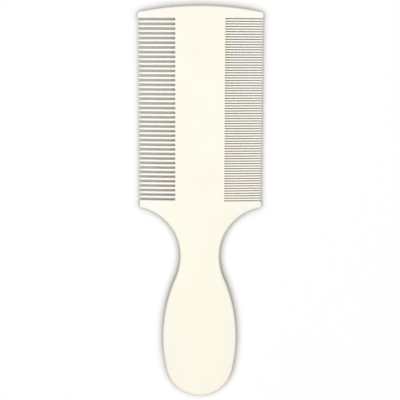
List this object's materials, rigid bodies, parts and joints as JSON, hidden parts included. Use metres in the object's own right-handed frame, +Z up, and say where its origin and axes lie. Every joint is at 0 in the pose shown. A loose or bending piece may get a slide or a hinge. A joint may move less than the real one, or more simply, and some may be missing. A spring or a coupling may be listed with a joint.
{
  "type": "double-sided grooming comb",
  "caption": "Flat one-piece plastic grooming comb with a coarse row of teeth on one side, a fine row on the other and a waisted paddle grip.",
  "frame": {"origin": "on the surface that the comb lies on, under the centre of its bounding box", "axes": "+X across the head towards the fine teeth, +Y along the comb from the grip to the top bar, +Z up through the thickness"},
  "size_m": [0.0456, 0.1452, 0.004],
  "materials": {
    "ivory_plastic": "satin, as moulded"
  },
  "bodies": {
    "root": {"top_bar": "ivory_plastic", "spine": "ivory_plastic", "coarse_teeth": "ivory_plastic", "fine_teeth": "ivory_plastic", "yoke": "ivory_plastic", "neck": "ivory_plastic", "grip": "ivory_plastic", "grip_end": "ivory_plastic"}
  },
  "joints": []
}
